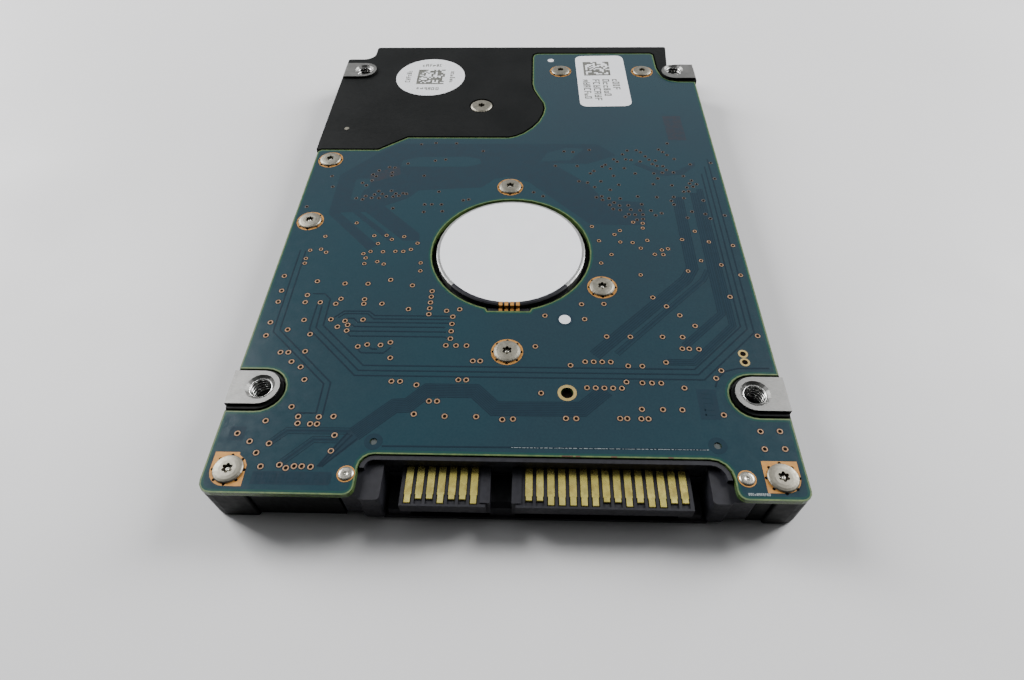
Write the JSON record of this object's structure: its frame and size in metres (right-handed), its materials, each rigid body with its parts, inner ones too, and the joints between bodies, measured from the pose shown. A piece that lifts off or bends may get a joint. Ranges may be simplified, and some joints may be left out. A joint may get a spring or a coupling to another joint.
{
  "type": "hard disk drive",
  "caption": "Slim 2.5-inch hard disk drive with circuit board, data and power edge connector, spindle motor, platter and swinging head arm in a cast base with a sheet lid.",
  "frame": {"origin": "centre of the bounding box's footprint, on the plane the lid rests on", "axes": "+X across the width, +Y away from the connector end along the length, +Z from the lid up to the circuit board"},
  "size_m": [0.0698, 0.1006, 0.007],
  "materials": {
    "base_casting": "satin black coat, bare machined bosses",
    "top_cover": "satin formed sheet",
    "cover_label": "printed label",
    "cover_gasket": "matte",
    "circuit_board": "teal solder mask over glass fibre",
    "controller_chip": "moulded",
    "memory_chip": "moulded",
    "board_label": "printed label",
    "round_label": "printed label",
    "head_connector": "moulded",
    "sata_housing": "moulded charcoal",
    "signal_contacts": "gold plated",
    "power_contacts": "gold plated",
    "motor_base": "machined",
    "motor_label": "plain seal",
    "motor_flex": "polyimide with copper lines",
    "bearing_sleeve": "turned",
    "stator_core": "laminated",
    "stator_coils": "enamelled copper",
    "spindle_hub": "turned",
    "spindle_shaft": "ground",
    "rotor_magnet": "plated",
    "platter": "polished",
    "disk_clamp": "satin",
    "clamp_screw": "satin",
    "actuator_arm": "machined",
    "pivot_bearing": "ground",
    "voice_coil": "enamelled copper",
    "suspension_lower": "rolled",
    "suspension_upper": "rolled",
    "slider_lower": "lapped",
    "slider_upper": "lapped",
    "preamp_flex": "polyimide",
    "pivot_post": "turned",
    "pivot_screw": "satin",
    "yoke_lower": "nickel plated",
    "yoke_upper": "nickel plated",
    "magnet_lower": "nickel plated",
    "magnet_upper": "nickel plated",
    "ramp": "moulded",
    "filter": "woven pad",
    "crash_stop": "matte",
    "latch_pin": "turned",
    "latch_lever": "moulded",
    "flex_ribbon": "polyimide",
    "cover_screw_1": "satin",
    "cover_screw_2": "satin",
    "cover_screw_3": "satin",
    "cover_screw_4": "satin",
    "cover_screw_5": "satin",
    "cover_screw_6": "satin",
    "board_screw_1": "satin nickel",
    "board_screw_2": "satin nickel",
    "board_screw_3": "satin nickel",
    "board_screw_4": "satin nickel",
    "board_screw_5": "satin nickel",
    "board_screw_6": "satin nickel",
    "board_screw_7": "satin nickel",
    "board_screw_8": "satin nickel",
    "board_screw_9": "satin nickel"
  },
  "bodies": {
    "case": {"base_casting": "base_casting", "top_cover": "top_cover", "cover_label": "cover_label", "cover_gasket": "cover_gasket", "circuit_board": "circuit_board", "controller_chip": "controller_chip", "memory_chip": "memory_chip", "board_label": "board_label", "round_label": "round_label", "head_connector": "head_connector", "sata_housing": "sata_housing", "signal_contacts": "signal_contacts", "power_contacts": "power_contacts", "motor_base": "motor_base", "motor_label": "motor_label", "motor_flex": "motor_flex", "bearing_sleeve": "bearing_sleeve", "stator_core": "stator_core", "stator_coils": "stator_coils", "pivot_post": "pivot_post", "pivot_screw": "pivot_screw", "yoke_lower": "yoke_lower", "yoke_upper": "yoke_upper", "magnet_lower": "magnet_lower", "magnet_upper": "magnet_upper", "ramp": "ramp", "filter": "filter", "crash_stop": "crash_stop", "latch_pin": "latch_pin", "flex_ribbon": "flex_ribbon", "cover_screw_1": "cover_screw_1", "cover_screw_2": "cover_screw_2", "cover_screw_3": "cover_screw_3", "cover_screw_4": "cover_screw_4", "cover_screw_5": "cover_screw_5", "cover_screw_6": "cover_screw_6", "board_screw_1": "board_screw_1", "board_screw_2": "board_screw_2", "board_screw_3": "board_screw_3", "board_screw_4": "board_screw_4", "board_screw_5": "board_screw_5", "board_screw_6": "board_screw_6", "board_screw_7": "board_screw_7", "board_screw_8": "board_screw_8", "board_screw_9": "board_screw_9"},
    "spindle": {"spindle_hub": "spindle_hub", "spindle_shaft": "spindle_shaft", "rotor_magnet": "rotor_magnet", "platter": "platter", "disk_clamp": "disk_clamp", "clamp_screw": "clamp_screw"},
    "head_arm": {"actuator_arm": "actuator_arm", "pivot_bearing": "pivot_bearing", "voice_coil": "voice_coil", "suspension_lower": "suspension_lower", "suspension_upper": "suspension_upper", "slider_lower": "slider_lower", "slider_upper": "slider_upper", "preamp_flex": "preamp_flex"},
    "shock_latch": {"latch_lever": "latch_lever"}
  },
  "joints": [
    {"name": "spindle_spin", "type": "hinge", "parent": "case", "child": "spindle", "pos_m": [0, -0.0106, 0.0025], "axis": [0, 0, 1], "continuous": true},
    {"name": "head_arm_swing", "type": "hinge", "parent": "case", "child": "head_arm", "pos_m": [-0.0066, 0.0284, 0.0025], "axis": [0, 0, 1], "range_deg": [-33, 0]},
    {"name": "latch_swing", "type": "hinge", "parent": "case", "child": "shock_latch", "pos_m": [0.0084, 0.0331, 0.0025], "axis": [0, 0, 1], "range_deg": [-12, 12]}
  ]
}
